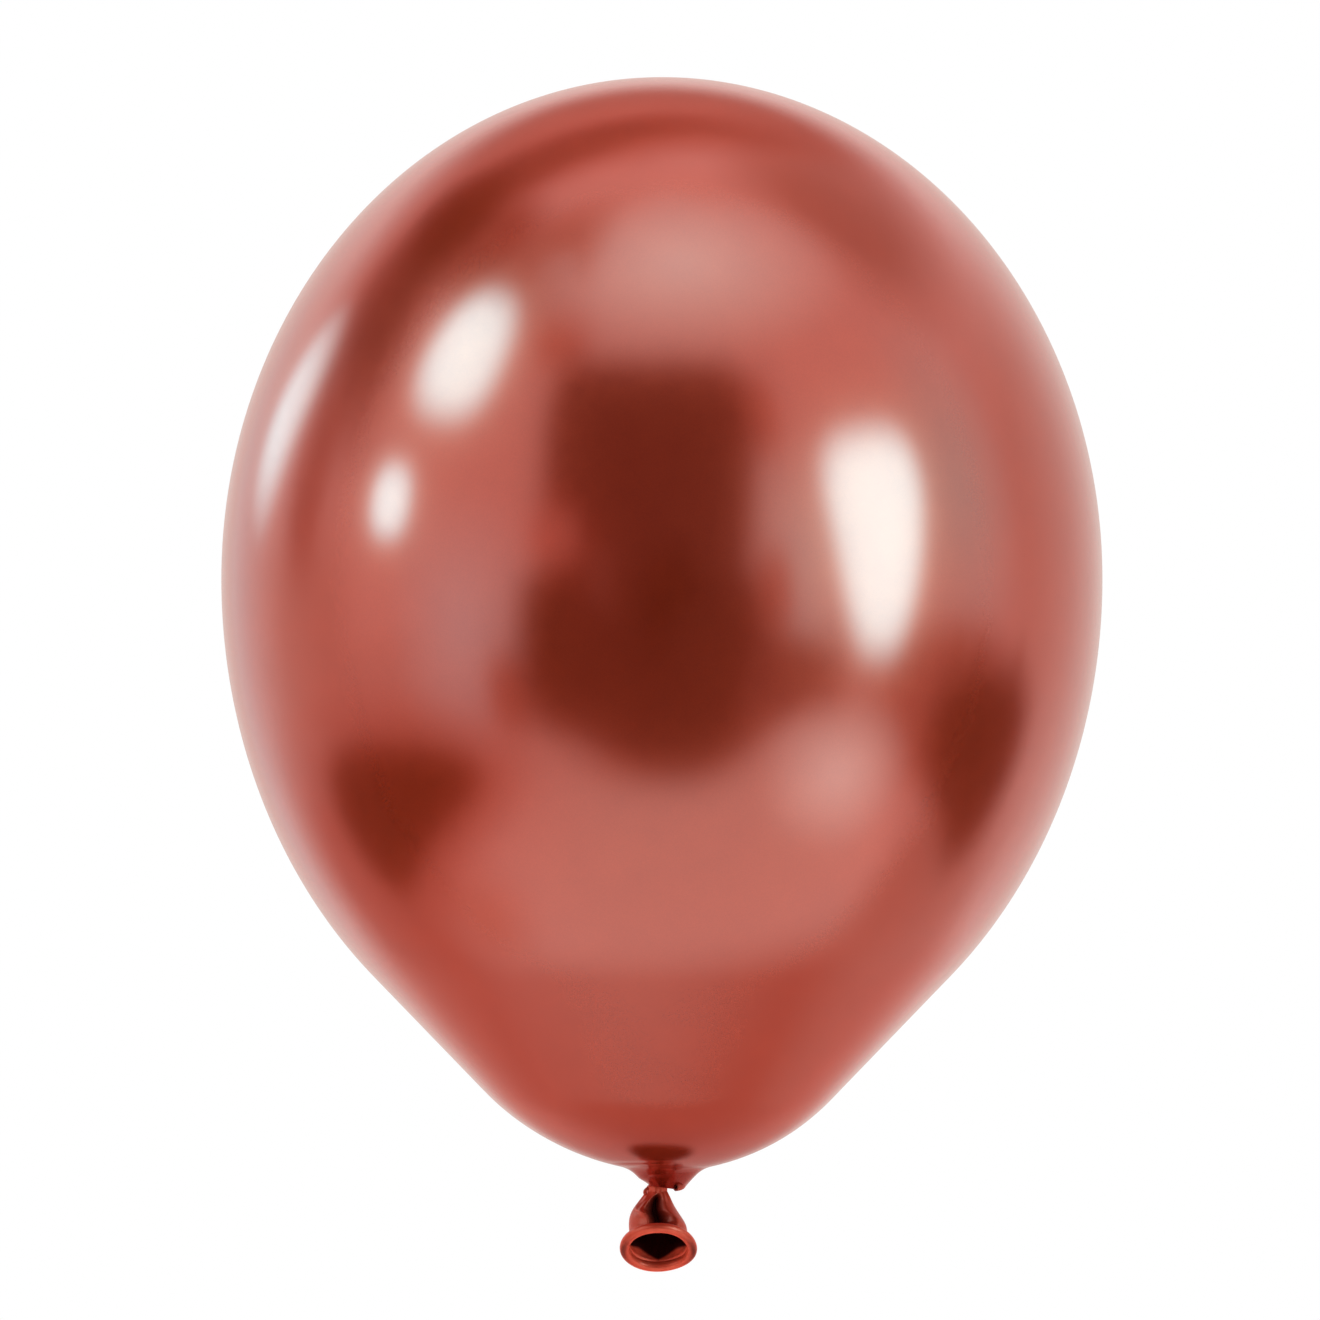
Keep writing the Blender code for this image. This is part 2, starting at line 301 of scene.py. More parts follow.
def ring_mesh(name, rows, top_pole=None, closed=False, values=None):
    """A mesh of rings, from top to bottom, each counterclockwise from above. A top pole closes the first
    ring, and closed joins the last ring to the first. values gives each ring's float attributes by name."""
    around = len(rows[0])
    points = [point for row in rows for point in row]
    faces = []
    last = len(rows) if closed else len(rows) - 1
    for step in range(last):
        upper = step * around
        lower = (step + 1) % len(rows) * around
        for side in range(around):
            after = (side + 1) % around
            faces.append((upper + side, lower + side, lower + after, upper + after))
    if top_pole is not None:
        pole = len(points)
        points.append(top_pole)
        faces += [(pole, side, (side + 1) % around) for side in range(around)]
    mesh = bpy.data.meshes.new(name)
    mesh.from_pydata(points, [], faces)
    mesh.shade_smooth()
    for key, rings in (values or {}).items():
        numbers = [number for ring in rings for number in ring]
        numbers += numbers[:len(points) - len(numbers)]
        mesh.attributes.new(key, "FLOAT", "POINT").data.foreach_set("value", numbers)
    sharpen_borders(mesh)
    return mesh


def sharpen_borders(mesh):
    """Mark open edges sharp, so that a thickened film keeps its own smooth normals up to a seam."""
    form = bmesh.new()
    form.from_mesh(mesh)
    for edge in form.edges:
        edge.smooth = not edge.is_boundary
    form.to_mesh(mesh)
    form.free()


def even(value, rows):
    """The same value for every point of some rings."""
    return [[value] * len(row) for row in rows]


def add_object(name, data):
    made = bpy.data.objects.new(name, data)
    bpy.context.scene.collection.objects.link(made)
    return made


def add_piece(mesh, slot, *materials):
    piece = add_object(mesh.name, mesh)
    for material in materials:
        mesh.materials.append(material)
    return piece


def thicken(piece, wall, inner_material=0):
    """Give a film its wall, inward. Its inner side takes the material this many slots further on."""
    skin = piece.modifiers.new("film", "SOLIDIFY")
    skin.thickness = wall
    skin.offset = -1
    skin.material_offset = inner_material
    return piece


# Materials

MIX_COLOUR_INPUTS = (0, 6, 7)   # of a Mix node that is set to colours: its share, first and second colour
MIX_COLOUR_OUTPUT = 2


class Nodes:
    """The node tree of a material or a world, with short ways to add nodes and links."""

    def __init__(self, owner, shader="Principled BSDF"):
        owner.use_nodes = True
        self.owner = owner
        self.tree = owner.node_tree
        self.shader = self.tree.nodes[shader]

    def add(self, kind, inputs=None, **settings):
        node = self.tree.nodes.new(kind)
        for key, value in settings.items():
            setattr(node, key, value)
        for key, value in (inputs or {}).items():
            self.put(node.inputs[key], value)
        return node

    def put(self, socket, value):
        """Link an output to a socket, or set the socket's own value."""
        if isinstance(value, bpy.types.NodeSocket):
            self.tree.links.new(value, socket)
        else:
            socket.default_value = value

    def noise(self, scale, detail):
        place = self.add("ShaderNodeTexCoord").outputs["Object"]
        node = self.add("ShaderNodeTexNoise", {"Vector": place, "Scale": scale, "Detail": detail})
        return node.outputs["Fac"]

    def attribute(self, name):
        return self.add("ShaderNodeAttribute", attribute_name=name).outputs["Fac"]

    def spread(self, value, low, high, from_low=0.3, from_high=0.7):
        node = self.add("ShaderNodeMapRange", {"Value": value, "From Min": from_low, "From Max": from_high,
                                               "To Min": low, "To Max": high})
        return node.outputs["Result"]

    def mix(self, share, first, second, blend="MIX"):
        node = self.add("ShaderNodeMix", data_type="RGBA", blend_type=blend)
        for number, value in zip(MIX_COLOUR_INPUTS, (share, first, second)):
            self.put(node.inputs[number], value)
        return node.outputs[MIX_COLOUR_OUTPUT]

    def set(self, **inputs):
        for key, value in inputs.items():
            self.put(self.shader.inputs[key.replace("_", " ")], value)

    def fade(self, share, first, second):
        """Show the first shader, or the second one where the share is 1."""
        mixed = self.add("ShaderNodeMixShader", {0: share, 1: first, 2: second})
        self.put(self.tree.nodes["Material Output"].inputs["Surface"], mixed.outputs[0])

    def grey(self, value):
        return self.add("ShaderNodeCombineColor", {0: value, 1: value, 2: value}).outputs[0]

    def bump(self, height, strength, distance):
        node = self.add("ShaderNodeBump", {"Height": height, "Strength": strength, "Distance": distance})
        self.set(Normal=node.outputs["Normal"])


BODY_RED = (0.58, 0.043, 0.005, 1)
BODY_RED_THIN = (0.61, 0.048, 0.007, 1)
# the neck's red: partly the less stretched film's deeper colour, partly painted shade
NECK_RED = (0.39, 0.020, 0.006, 1)
TAIL_RED = (0.80, 0.078, 0.035, 1)
TAIL_RED_WORN = (0.86, 0.11, 0.055, 1)
# Painted shade: the dark red that shaded folds, hollows and sides are painted towards
PAINTED_SHADE_RED = (0.034, 0.0006, 0.0004, 1)

# Painted shade: how far each piece's colour goes from the rolled rim's red towards the painted dark of a
# shaded fold
FILM_SHADE = 0.25
CURL_SHADE = 0.4
KNOT_SHADE = 0.45
RIM_SHADE = 0.8                 # painted shade, only at the rim's two sides
RIM_SHADE_TURN = 70             # its place and half width in degrees round the roll
RIM_SHADE_SPREAD = 42
RIM_SHADE_POWER = 4             # how closely it keeps to the two sides
FILM_SHADE_SPAN = (-3.0 * MM, 1.5 * MM)     # distances along the tail over which the film's painted shade sets in
POCKET_SHADE_POWER = 0.7
INSIDE_EDGE = 15.3 * MM         # distances along the tail between which the inside is painted dark, as painted shade
INSIDE_DARK = 14.4 * MM
INSIDE_LIT = 1.7 * MM           # by which that painted dark starts further in at the rear's two folds, leaving a band there unshaded


def body_latex():
    """Stretched film: a metallic red pigment under a glossy skin, finely mottled where it is drawn thin.
    The neck is deeper in colour, partly as the less stretched film's own colour and partly as painted
    shade, and duller."""
    made = Nodes(bpy.data.materials.new("body_latex"))
    mottle = made.spread(made.noise(scale=70.0, detail=3.0), low=0.0, high=1.0)
    grain = made.spread(made.noise(scale=2400.0, detail=1.0), low=0.94, high=1.04)
    stretch = made.attribute("stretch")
    film = made.mix(stretch, NECK_RED, made.mix(mottle, BODY_RED, BODY_RED_THIN))
    film = made.mix(1.0, film, made.grey(grain), "MULTIPLY")
    polish = made.spread(made.noise(scale=240.0, detail=4.0), low=0.22, high=0.26)
    made.set(Base_Color=film, Metallic=0.6, Roughness=polish)
    gloss = made.spread(stretch, low=0.4, high=1.0, from_low=0.0, from_high=1.0)
    made.set(Coat_Weight=gloss, Coat_Roughness=0.17, Coat_IOR=1.7)
    made.bump(made.noise(scale=1500.0, detail=2.0), strength=0.05, distance=0.02 * MM)
    return made.owner


def tail_latex(name, shade):
    """Unstretched film: satin, paler where it is worn, and painted dark, with less shine, where the named
    attribute paints shade into folds, hollows and shaded sides.
    """
    made = Nodes(bpy.data.materials.new(name))
    wear = made.spread(made.noise(scale=420.0, detail=4.0), low=0.0, high=0.75)
    film = made.mix(wear, TAIL_RED, TAIL_RED_WORN)
    painted_shade = made.attribute(shade)
    film = made.mix(painted_shade, film, PAINTED_SHADE_RED)
    polish = made.spread(made.noise(scale=900.0, detail=3.0), low=0.34, high=0.44)
    made.set(Base_Color=film, Metallic=0.35, Roughness=polish)
    gloss = made.spread(painted_shade, low=0.15, high=0.0, from_low=0.0, from_high=1.0)
    made.set(Specular_IOR_Level=0.18, Coat_Weight=gloss, Coat_Roughness=0.26)
    made.bump(made.noise(scale=2600.0, detail=3.0), strength=0.12, distance=0.03 * MM)
    return made.owner


# Envelope

def slope_arc(start, radius, from_angle, to_angle, steps):
    """Points (r, z) of an arc that climbs outward from start while its slope goes between two angles."""
    first = math.radians(from_angle)
    last = math.radians(to_angle)
    side = 1 if last > first else -1
    points = []
    for step in range(1, steps + 1):
        slope = first + (last - first) * step / steps
        run = side * radius * (math.sin(slope) - math.sin(first))
        rise = side * radius * (math.cos(first) - math.cos(slope))
        points.append(start + Vector((run, rise)))
    return points


def straight(start, end, steps):
    return [start.lerp(end, step / steps) for step in range(1, steps + 1)]


def envelope_outline():
    """The body's outline (r, z) from the seam on the neck cone up to just below the crown."""
    drop = NECK_CONE_TOP.y - SEAM_HEIGHT
    points = [NECK_CONE_TOP - Vector((drop / math.tan(math.radians(NECK_ANGLE)), drop))]
    points += straight(points[-1], NECK_CONE_TOP, CONE_ROWS)
    points += slope_arc(points[-1], NECK_FILLET_RADIUS, NECK_ANGLE, SHOULDER_ANGLE, FILLET_ROWS)
    points += slope_arc(points[-1], BOTTOM_RADIUS, SHOULDER_ANGLE, CREASED_ANGLE, CREASED_ROWS)
    points += slope_arc(points[-1], BOTTOM_RADIUS, CREASED_ANGLE, FLANK_ANGLE, BOTTOM_ROWS)
    slope = math.radians(FLANK_ANGLE)
    low = math.atan(LOWER_SEMI_AXIS / (HALF_WIDTH * math.tan(slope)))
    flank_run = HALF_WIDTH * math.cos(low) - points[-1].x
    flank_top = points[-1] + flank_run * Vector((1, math.tan(slope)))
    points += straight(points[-1], flank_top, FLANK_ROWS)
    equator = flank_top.y + LOWER_SEMI_AXIS * math.sin(low)
    for step in range(1, LOWER_ROWS + 1):
        turn = low * (1 - step / LOWER_ROWS)
        points.append(Vector((HALF_WIDTH * math.cos(turn), equator - LOWER_SEMI_AXIS * math.sin(turn))))
    for step in range(1, CROWN_ROWS):
        turn = math.pi / 2 * step / CROWN_ROWS
        points.append(Vector((HALF_WIDTH * math.cos(turn), equator + CROWN_RISE * math.sin(turn))))
    return points


def neck_axis(height):
    """How far the film's middle is off the body's axis, along X."""
    return NECK_SHIFT * smooth(NECK_SHIFT_TOP, SEAM_HEIGHT, height)


def crease_depth(angle, height):
    depth = 0.0
    for middle, centre, spread, deepest, half_height in CREASES:
        away = wrap(angle - centre)
        bow = middle + CREASE_RISE * away
        depth += deepest * bell(away, spread) * bell(height - bow, half_height)
    return depth


def make_envelope():
    outline = list(reversed(envelope_outline()))
    rows = []
    stretch = []
    for point in outline:
        row = []
        for side in range(AROUND):
            angle = 360.0 * side / AROUND
            reach = point.x - crease_depth(angle, point.y)
            row.append(front_vector(angle, reach, point.y) + Vector((neck_axis(point.y), 0, 0)))
        rows.append(row)
        stretch.append([smooth(*NECK_TONE, point.y)] * AROUND)
    crown = Vector((0, 0, ENVELOPE_HIGH.z))
    mesh = ring_mesh("envelope_skin", rows, top_pole=crown, values={"stretch": stretch})
    piece = thicken(add_piece(mesh, "body_latex", MATERIALS["body"]), FILM_WALL)
    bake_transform(piece)
    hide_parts("envelope")


# Gathered neck

def bezier(first, second, third, fourth, steps):
    """Points (r, z) along a Bezier curve."""
    bends = [Vector((*point, 0)) for point in (first, second, third, fourth)]
    return [point.to_2d() for point in geometry.interpolate_bezier(*bends, steps + 1)]


def lip_height(angle):
    return LIP_HEIGHT - LIP_SLANT * math.sin(math.radians(angle))


def lip_section(angle):
    """The gathered neck's outline (r, z) at an angle: down the cone, round the edge and up inside."""
    drop = NECK_CONE_TOP.y - SEAM_HEIGHT
    top = NECK_CONE_TOP - Vector((drop, drop))
    edge = Vector((LIP_RADIUS, lip_height(angle)))
    handle = (top - edge).length / 3
    down = Vector((-1, -1)).normalized()
    points = bezier(top, top + handle * down, edge - handle * down, edge, LIP_CONE_ROWS)
    heading = math.atan2(down.y, down.x)
    roll = LIP_ROLL + LIP_ROLL_SWING * math.sin(math.radians(angle))
    stride = roll * math.radians(LIP_TURN) / LIP_ROLL_ROWS
    for step in range(LIP_ROLL_ROWS):
        heading -= math.radians(LIP_TURN) / LIP_ROLL_ROWS
        points.append(points[-1] + stride * Vector((math.cos(heading), math.sin(heading))))
    up = Vector((math.cos(heading), math.sin(heading)))
    for step in range(LIP_RETURN_ROWS):
        points.append(points[-1] + LIP_RETURN / LIP_RETURN_ROWS * up)
    return points


def make_gathered_neck():
    sections = []
    for side in range(AROUND):
        angle = 360.0 * side / AROUND
        section = []
        for point in lip_section(angle):
            gather = smooth(NECK_PLEAT_TOP, LIP_HEIGHT, point.y)
            waver = NECK_PLEAT_WAVER * math.sin(math.radians(NECK_WAVERS * angle))
            pleat = NECK_PLEAT_DEPTH * gather * math.cos(math.radians(NECK_PLEATS * angle) + waver)
            reach = point.x - crease_depth(angle, point.y) + pleat
            section.append(front_vector(angle, reach, point.y) + Vector((neck_axis(point.y), 0, 0)))
        sections.append(section)
    rows = [list(row) for row in zip(*sections)]
    mesh = ring_mesh("gathered_neck", rows, values={"stretch": even(0.0, rows)})
    piece = thicken(add_piece(mesh, "body_latex", MATERIALS["body"]), FILM_WALL)
    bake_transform(piece)
    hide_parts("neck_collar")


def bent_path(bends, count):
    """Points along a Bezier curve whose bends are in millimetres."""
    return geometry.interpolate_bezier(*[MM * Vector(bend) for bend in bends], count)


def make_neck_curl():
    def curl_radius(share, turn):
        return CURL_THIN + (CURL_THICK - CURL_THIN) * share ** CURL_GROWTH

    path = bent_path(CURL_BENDS, CURL_STEPS + 1)
    outer = tube_rows(path, ROPE_SIDES, curl_radius)
    inner = tube_rows(path, ROPE_SIDES, lambda share, turn: CURL_HOLE)
    hole = inner[int(CURL_STEPS * (1 - CURL_DEPTH)):]
    rows = outer + list(reversed(hole))
    # painted shade: the curl's outside a little darker, and its hole painted fully dark
    painted_shade = even(CURL_SHADE, outer) + even(1.0, hole)
    mesh = ring_mesh("neck_curl", rows, values={"painted_shade": painted_shade})
    cap_ends(mesh)
    piece = add_piece(mesh, "body_latex", MATERIALS["tail"])
    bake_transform(piece)
    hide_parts("neck_collar")


# Knot

def tube_rows(path, sides, radius_at):
    """Rings of a tube along a path, with the least twist from ring to ring."""
    rows = []
    across = None
    for index, point in enumerate(path):
        along = (path[min(index + 1, len(path) - 1)] - path[max(index - 1, 0)]).normalized()
        if across is None:
            across = along.orthogonal().normalized()
        across = (across - along * across.dot(along)).normalized()
        beside = along.cross(across)
        share = index / (len(path) - 1)
        row = []
        for side in range(sides):
            turn = 2 * math.pi * side / sides
            reach = radius_at(share, turn)
            row.append(point - reach * (math.cos(turn) * across - math.sin(turn) * beside))
        rows.append(row)
    return rows


def torus_strand(turn):
    """A point of a rope that winds twice round the knot's axis and three times round its ring."""
    round_axis = 2 * turn
    round_ring = 3 * turn
    reach = KNOT_MAJOR + KNOT_MINOR * math.cos(round_ring)
    height = -KNOT_MINOR * math.sin(round_ring)
    return Vector((reach * math.cos(round_axis), reach * math.sin(round_axis), height))


def knot_path():
    last = math.radians(KNOT_CUT)
    first = 2 * math.pi - last
    turns = [first + (last - first) * step / STRAND_STEPS for step in range(STRAND_STEPS + 1)]
    strand = [torus_strand(turn) for turn in turns]
    head = Vector((0, 0, KNOT_HEAD))
    tail = Vector((0, 0, -KNOT_TAIL))
    drop = Vector((0, 0, ROPE_DIAMETER / 2))
    enter = (strand[0] - strand[1]).normalized() * ROPE_PITCH
    leave = (strand[-1] - strand[-2]).normalized() * ROPE_PITCH
    lead_in = geometry.interpolate_bezier(head, head - drop, strand[0] + enter, strand[0], LEAD_STEPS)
    lead_out = geometry.interpolate_bezier(strand[-1], strand[-1] + leave, tail + drop, tail, LEAD_STEPS)
    return [LEAN_PIVOT + point for point in lead_in[:-1] + strand + lead_out[1:]]


def make_knot():
    def rope_radius(share, turn):
        end = math.sqrt(min(1.0, min(share, 1 - share) / ROPE_END + ROPE_TIP))
        wrinkle = math.cos(WRINKLES * turn + WRINKLE_TWIST * share)
        return ROPE_DIAMETER / 2 * end * (1 - WRINKLE_DEPTH * (1 + wrinkle) / 2)

    rows = tube_rows(knot_path(), ROPE_SIDES, rope_radius)
    # painted shade over the whole knot
    mesh = ring_mesh("overhand_knot", rows, values={"painted_shade": even(KNOT_SHADE, rows)})
    cap_ends(mesh)
    piece = add_piece(mesh, "body_latex", MATERIALS["tail"])
    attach(piece, "knot")
    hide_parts("knot")


def cap_ends(mesh):
    form = bmesh.new()
    form.from_mesh(mesh)
    bmesh.ops.holes_fill(form, edges=[edge for edge in form.edges if edge.is_boundary])
    form.to_mesh(mesh)
    form.free()
    mesh.shade_smooth()


# Tail

def tail_frame(distance):
    """The frame of the tail's curve at a distance: straight above the waist's centre, then an arc to the
    front, and straight again past the skirt's end."""
    curved = min(max(distance, 0.0), SKIRT_END)
    turn = math.radians(TAIL_BEND) * curved / SKIRT_END
    bend_radius = SKIRT_END / math.radians(TAIL_BEND)
    arc_end = bend_radius * Vector((0, math.cos(turn) - 1, -math.sin(turn)))
    swing = TAIL_DRIFT * bell(distance - TAIL_DRIFT_MIDDLE, TAIL_DRIFT_SPREAD)
    drift = swing + MOUTH_DRIFT * smooth(*MOUTH_DRIFT_SPAN, distance)
    past = Vector((drift, 0, curved - distance))
    bent = Matrix.Translation(TAIL_PIVOT + arc_end) @ Matrix.Rotation(-turn, 4, "X")
    return bent @ Matrix.Translation(past)


def tail_reach(distance):
    """The tail's radius without its folds: closed at the top, narrow at the gather, wide at the mouth."""
    if distance < TAIL_SHOULDER:
        dome = (TAIL_SHOULDER - distance) / (TAIL_SHOULDER - TAIL_TOP)
        return WAIST_RADIUS * math.sqrt(max(1 - dome * dome, TOP_PINHOLE))
    share = min(max(distance - TAIL_GATHER, 0.0) / WIDENING_LENGTH, 1.0)
    opening = math.sin(math.pi / 2 * share) ** WIDENING_POWER
    return WAIST_RADIUS + (MOUTH_FILM_RADIUS - WAIST_RADIUS) * opening


def pocket_edge(fall):
    """The angle of the front pleat's sharp left edge, at millimetres below the waist's centre."""
    lead = POCKET_LEFT_LEAD * math.exp(-max(fall - POCKET_LEFT_START, 0) / POCKET_LEFT_EASE)
    return POCKET_LEFT + lead + POCKET_LEFT_FOOT * smooth(*POCKET_LEFT_FOOT_FALLS, fall)


def pocket_depth(distance, angle):
    """The deep front pleat: a sharp left edge that the film tucks in behind, and a soft right side."""
    fall = distance / MM
    left = pocket_edge(fall)
    right = POCKET_RIGHT + POCKET_RIGHT_FOOT * smooth(*POCKET_RIGHT_FOOT_FALLS, fall)
    outer, inner = POCKET_RIGHT_SOFT
    across = smooth(left - POCKET_LEFT_SOFT, left + POCKET_LEFT_SOFT, angle)
    across *= smooth(right + outer, right + inner, angle)
    return across * smooth(*POCKET_TOP_FALLS, fall) * smooth(*POCKET_END_FALLS, fall)


def ridge_height(fall, angle):
    """The ridge that stands up along the front pleat's left edge."""
    across = bell(angle - pocket_edge(fall) + RIDGE_OFFSET, RIDGE_SPREAD)
    return RIDGE_HEIGHT * across * smooth(*RIDGE_TOP_FALLS, fall) * smooth(*RIDGE_END_FALLS, fall)


def flap_rise(distance, angle):
    """The upper left film, which bulges over the lower left panel along a slanting line."""
    fall = distance / MM
    line = FLAP_FALL + FLAP_DROP * (angle - FLAP_LEFT) / FLAP_WIDTH
    soft = FLAP_SOFT_ABOVE if fall < line else FLAP_SOFT_BELOW
    return bell(fall - line, soft) * smooth(*FLAP_LEFT_ANGLES, angle) * smooth(*FLAP_RIGHT_ANGLES, angle)


def rear_fold(distance, angle):
    """Two folds at the rear that push the film into the mouth, to either side of it."""
    fall = distance / MM
    fullness = bell(fall - REAR_FALL, REAR_SPREAD)
    fullness += REAR_UPPER_SHARE * bell(fall - REAR_UPPER_FALL, REAR_UPPER_SPREAD)
    return fullness * sum(bell(wrap(angle - middle), REAR_WIDTH) for middle in REAR_ANGLES)


def tail_radius(distance, angle):
    """The tail's radius with all its folds."""
    fall = distance / MM
    angle = wrap(angle)
    pleat = math.cos(math.radians(WAIST_PLEATS * angle) + WAIST_PLEAT_PHASE)
    pleat *= WAIST_PLEAT_DEPTH * bell(fall - WAIST_PLEAT_FALL, WAIST_PLEAT_SPREAD)
    depth = POCKET_DEPTH * pocket_depth(distance, angle) + REAR_DEPTH * rear_fold(distance, angle)
    share = 1 - depth + pleat + ridge_height(fall, angle)
    flare = MOUTH_FLARE * smooth(*FLARE_FALLS, fall)
    return tail_reach(distance) * share + FLAP_RISE * flap_rise(distance, angle) + flare


def make_tail():
    """The tail's film as one grid, cut into a waist and two skirts that meet ring on ring."""
    distances = [TAIL_TOP + (TAIL_BOTTOM - TAIL_TOP) * step / TAIL_ROWS for step in range(TAIL_ROWS + 1)]
    rows = []
    painted_shade = []
    depth = []
    for distance in distances:
        place = tail_frame(distance)
        row = []
        shade = []
        inside = []
        for side in range(TAIL_AROUND):
            angle = 360.0 * side / TAIL_AROUND
            row.append(place @ front_vector(angle, tail_radius(distance, angle)))
            # painted shade: the film below the waist a little darker, and the front pleat painted dark as
            # shade
            base = FILM_SHADE * smooth(*FILM_SHADE_SPAN, distance)
            shade.append(base + (1 - base) * pocket_depth(distance, wrap(angle)) ** POCKET_SHADE_POWER)
            # painted shade inside the mouth, darker the deeper it lies, starting further in at the rear's
            # two folds
            lit = INSIDE_LIT * max(-math.sin(math.radians(2 * abs(wrap(angle)))), 0.0)
            inside.append(smooth(INSIDE_EDGE - lit, INSIDE_DARK - lit, distance))
        rows.append(row)
        painted_shade.append(shade)
        depth.append(inside)
    waist = max(index for index, distance in enumerate(distances) if distance <= WAIST_SEAM)
    seam = max(index for index, distance in enumerate(distances) if distance <= SKIRT_SEAM)
    spans = (
        ("waist_film", 0, waist, *WAIST_BLEND, "throat"),
        ("upper_skirt", waist, seam, *UPPER_BLEND, "tail_skirt"),
        ("lower_skirt", seam, TAIL_ROWS, *LOWER_BLEND, "tail_skirt"),
    )
    for name, first, last, upper, lower, start, end, node in spans:
        span = slice(first, last + 1)
        mesh = ring_mesh(name, rows[span], values={"painted_shade": painted_shade[span], "depth": depth[span]})
        piece = add_piece(mesh, "tail_latex", MATERIALS["tail"], MATERIALS["inside"])
        thicken(piece, TAIL_WALL, inner_material=1)
        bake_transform(piece)
        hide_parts(node)


def make_ear():
    def ear_radius(share, turn):
        return EAR_RADIUS * (EAR_END_SHARE + (1 - EAR_END_SHARE) * math.sin(math.pi * share))

    rows = tube_rows(bent_path(EAR_BENDS, EAR_POINTS), ROPE_SIDES, ear_radius)
    # painted shade, as on the rest of the tail's film
    mesh = ring_mesh("waist_ear", rows, values={"painted_shade": even(FILM_SHADE, rows)})
    cap_ends(mesh)
    piece = add_piece(mesh, "tail_latex", MATERIALS["tail"])
    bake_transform(piece)
    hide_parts("throat")


def make_mouth():
    """The rim, rolled up on itself: a fat roll with the line of its last turn on the inside."""
    place = tail_frame(TAIL_LENGTH) @ Matrix.Rotation(-math.radians(MOUTH_TILT), 4, "X")
    rows = []
    painted_shade = []
    for step in range(BEAD_SIDES):
        turn = 360.0 * step / BEAD_SIDES
        relief = sum(height * bell(wrap(turn - middle), spread) for height, middle, spread in RIM_LINES)
        # painted shade on the rim's two sides, part way round its roll
        darkest = RIM_SHADE * bell(wrap(turn - RIM_SHADE_TURN), RIM_SHADE_SPREAD)
        row = []
        shade = []
        for side in range(TAIL_AROUND):
            angle = 360.0 * side / TAIL_AROUND
            shade.append(darkest * math.sin(math.radians(angle)) ** RIM_SHADE_POWER)
            wave = RIM_WAVE * math.sin(math.radians(RIM_WAVES * angle + turn))
            thick = BEAD_RADIUS * (1 + relief + wave)
            sway = RIM_SWAY * math.cos(math.radians(RIM_SWAYS * angle + RIM_SWAY_PHASE))
            ring = MOUTH_RADIUS * (1 + sway)
            reach = ring + thick * math.cos(math.radians(turn))
            row.append(place @ front_vector(angle, reach, -thick * math.sin(math.radians(turn))))
        rows.append(row)
        painted_shade.append(shade)
    mesh = ring_mesh("rolled_mouth", rows, closed=True, values={"painted_shade": painted_shade})
    piece = add_piece(mesh, "tail_latex", MATERIALS["tail"])
    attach(piece, "mouth")
    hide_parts("mouth_bead")


# Studio

def studio_point(azimuth, elevation, layer):
    """A point of the studio sphere: azimuth 0 is towards the camera and 90 is +X, in degrees. Higher layers
    are further out, so lower ones cover them."""
    radius = STUDIO_RADIUS + LAYER_STEP * layer
    level = radius * math.cos(math.radians(elevation))
    return STUDIO_CENTRE + front_vector(azimuth, level, radius * math.sin(math.radians(elevation)))


def card_material(name, radiance, tint):
    """Shines with one radiance, and lets what is behind it through towards its soft edge."""
    made = Nodes(bpy.data.materials.new(name))
    glow = made.add("ShaderNodeEmission", {"Strength": radiance, "Color": tint})
    clear = made.add("ShaderNodeBsdfTransparent")
    made.fade(made.attribute("core"), clear.outputs[0], glow.outputs[0])
    return made.owner


def add_card(name, radiance, tint, points, faces, core):
    """A card of the studio, which only the film's shine shows."""
    mesh = bpy.data.meshes.new(name)
    mesh.from_pydata(points, [], faces)
    mesh.attributes.new("core", "FLOAT", "POINT").data.foreach_set("value", core)
    mesh.materials.append(card_material(name, radiance, tint))
    card = add_object(name, mesh)
    card.visible_camera = False
    card.visible_shadow = False
    card.visible_diffuse = False
    return card


def soft_card(name, radiance, tint, rings, middle):
    """A card made of rings of PANEL_CORNERS points, from its clear edge inward to where it is full."""
    count = PANEL_CORNERS
    last = len(rings) - 1
    points = [point for ring in rings for point in ring] + [middle]
    core = [smooth(0, last, index) for index in range(len(rings)) for side in range(count)] + [1.0]
    faces = []
    for outer in range(0, last * count, count):
        for side in range(count):
            after = (side + 1) % count
            faces.append((outer + side, outer + after, outer + count + after, outer + count + side))
    inner = last * count
    faces += [(inner + side, inner + (side + 1) % count, inner + count) for side in range(count)]
    return add_card(name, radiance, tint, points, faces, core)


def card_turns():
    return [2 * math.pi * step / PANEL_CORNERS for step in range(PANEL_CORNERS)]


def rounded(value, square):
    """A cosine or sine pushed outward: square 2 gives an oval, and more than that a rounded rectangle."""
    return math.copysign(abs(value) ** (2 / square), value)


def panel(name, radiance, place, size, soft=0.4, square=2.5, lean=0.0, taper=0.0, layer=1,
          tint=PLAIN_WHITE):
    """A rounded card that faces the balloon. Its place and size are azimuth and elevation in degrees, soft
    is the share of it that fades towards its edge, lean tips its top to the right in degrees and taper
    narrows its foot."""
    centre = Vector(place)
    tip = Matrix.Rotation(-math.radians(lean), 2)
    rings = []
    for share in (1.0, 1 - soft / 2, 1 - soft):
        ring = []
        for turn in card_turns():
            rise = rounded(math.sin(turn), square)
            reach = rounded(math.cos(turn), square) * (1 + taper * rise)
            corner = tip @ Vector((size[0] / 2 * reach, size[1] / 2 * rise))
            ring.append(studio_point(*(centre + share * corner), layer))
        rings.append(ring)
    return soft_card(name, radiance, tint, rings, studio_point(*centre, layer))


